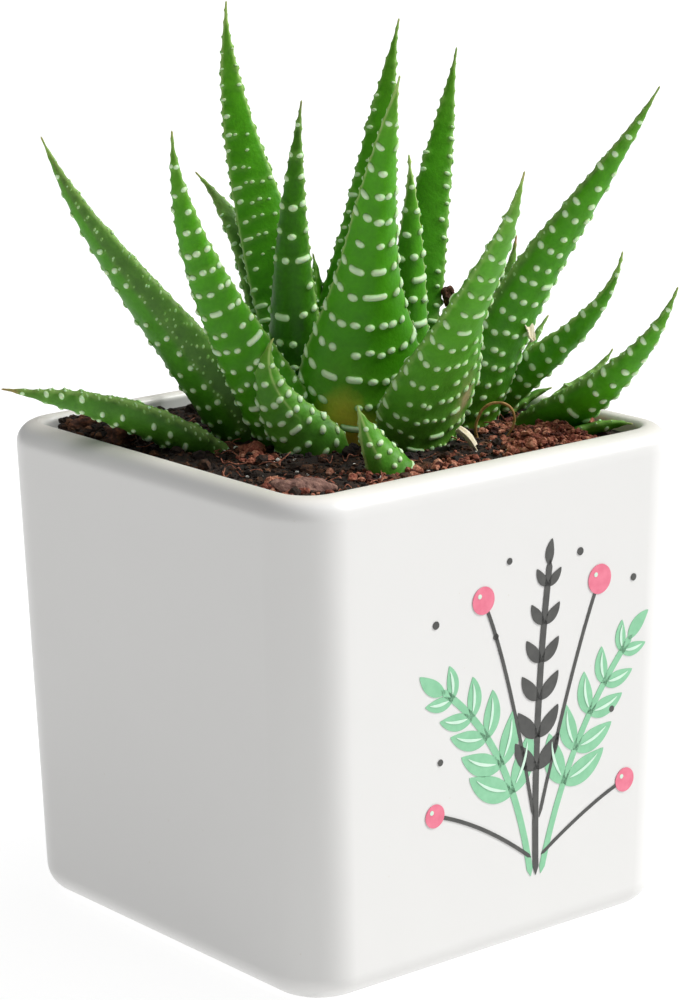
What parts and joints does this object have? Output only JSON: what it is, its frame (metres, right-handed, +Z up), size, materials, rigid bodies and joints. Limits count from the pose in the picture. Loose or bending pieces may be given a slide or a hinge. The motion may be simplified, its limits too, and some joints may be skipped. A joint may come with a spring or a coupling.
{
  "type": "potted haworthia",
  "caption": "Haworthia clump of pointed dark green leaves with raised white tubercle bands, standing in potting mix in a white glazed cube pot with a small leafy print.",
  "frame": {"origin": "centre of the pot's flat base, where it stands", "axes": "+Z up through the pot; -Y is the printed face of the pot, +X the side with the smaller rosette"},
  "size_m": [0.0885, 0.0849, 0.1385],
  "materials": {
    "white_glaze": "clear white glaze, glossy",
    "bare_foot": "unglazed, matt",
    "print_dark": "decal under a thin gloss",
    "print_mint": "decal under a thin gloss",
    "print_pale": "decal under a thin gloss",
    "print_pink": "decal under a thin gloss",
    "leaf_skin": "waxy skin, satin, with pale margins and dry tips",
    "tubercle": "matt, pearly white",
    "potting_mix": "damp peat and coir crumb, matt",
    "perlite": "matt, porous",
    "bark": "rough, matt",
    "coir": "fibrous, matt",
    "dry_husk": "papery, matt",
    "dry_root": "dry fibre, satin"
  },
  "bodies": {
    "root": {"pot": "white_glaze", "soil": "potting_mix", "leaf_a1": "leaf_skin", "leaf_a2": "leaf_skin", "leaf_a3": "leaf_skin", "leaf_a4": "leaf_skin", "leaf_a5": "leaf_skin", "leaf_a6": "leaf_skin", "leaf_a7": "leaf_skin", "leaf_a8": "leaf_skin", "leaf_a9": "leaf_skin", "leaf_a10": "leaf_skin", "leaf_a11": "leaf_skin", "leaf_a12": "leaf_skin", "leaf_a13": "leaf_skin", "leaf_a14": "leaf_skin", "leaf_b1": "leaf_skin", "leaf_b2": "leaf_skin", "leaf_b3": "leaf_skin", "leaf_b4": "leaf_skin", "leaf_b5": "leaf_skin", "leaf_b6": "leaf_skin", "leaf_b7": "leaf_skin", "leaf_c1": "leaf_skin", "leaf_c2": "leaf_skin", "leaf_c3": "leaf_skin", "leaf_c4": "leaf_skin", "leaf_c5": "leaf_skin", "leaf_c6": "leaf_skin", "leaf_d1": "leaf_skin", "bark_front": "bark", "bark_left": "bark", "bark_side": "bark", "coir_middle": "coir", "coir_right": "coir", "coir_corner": "coir", "dry_sheath": "dry_husk", "dry_root": "dry_root"}
  },
  "joints": []
}
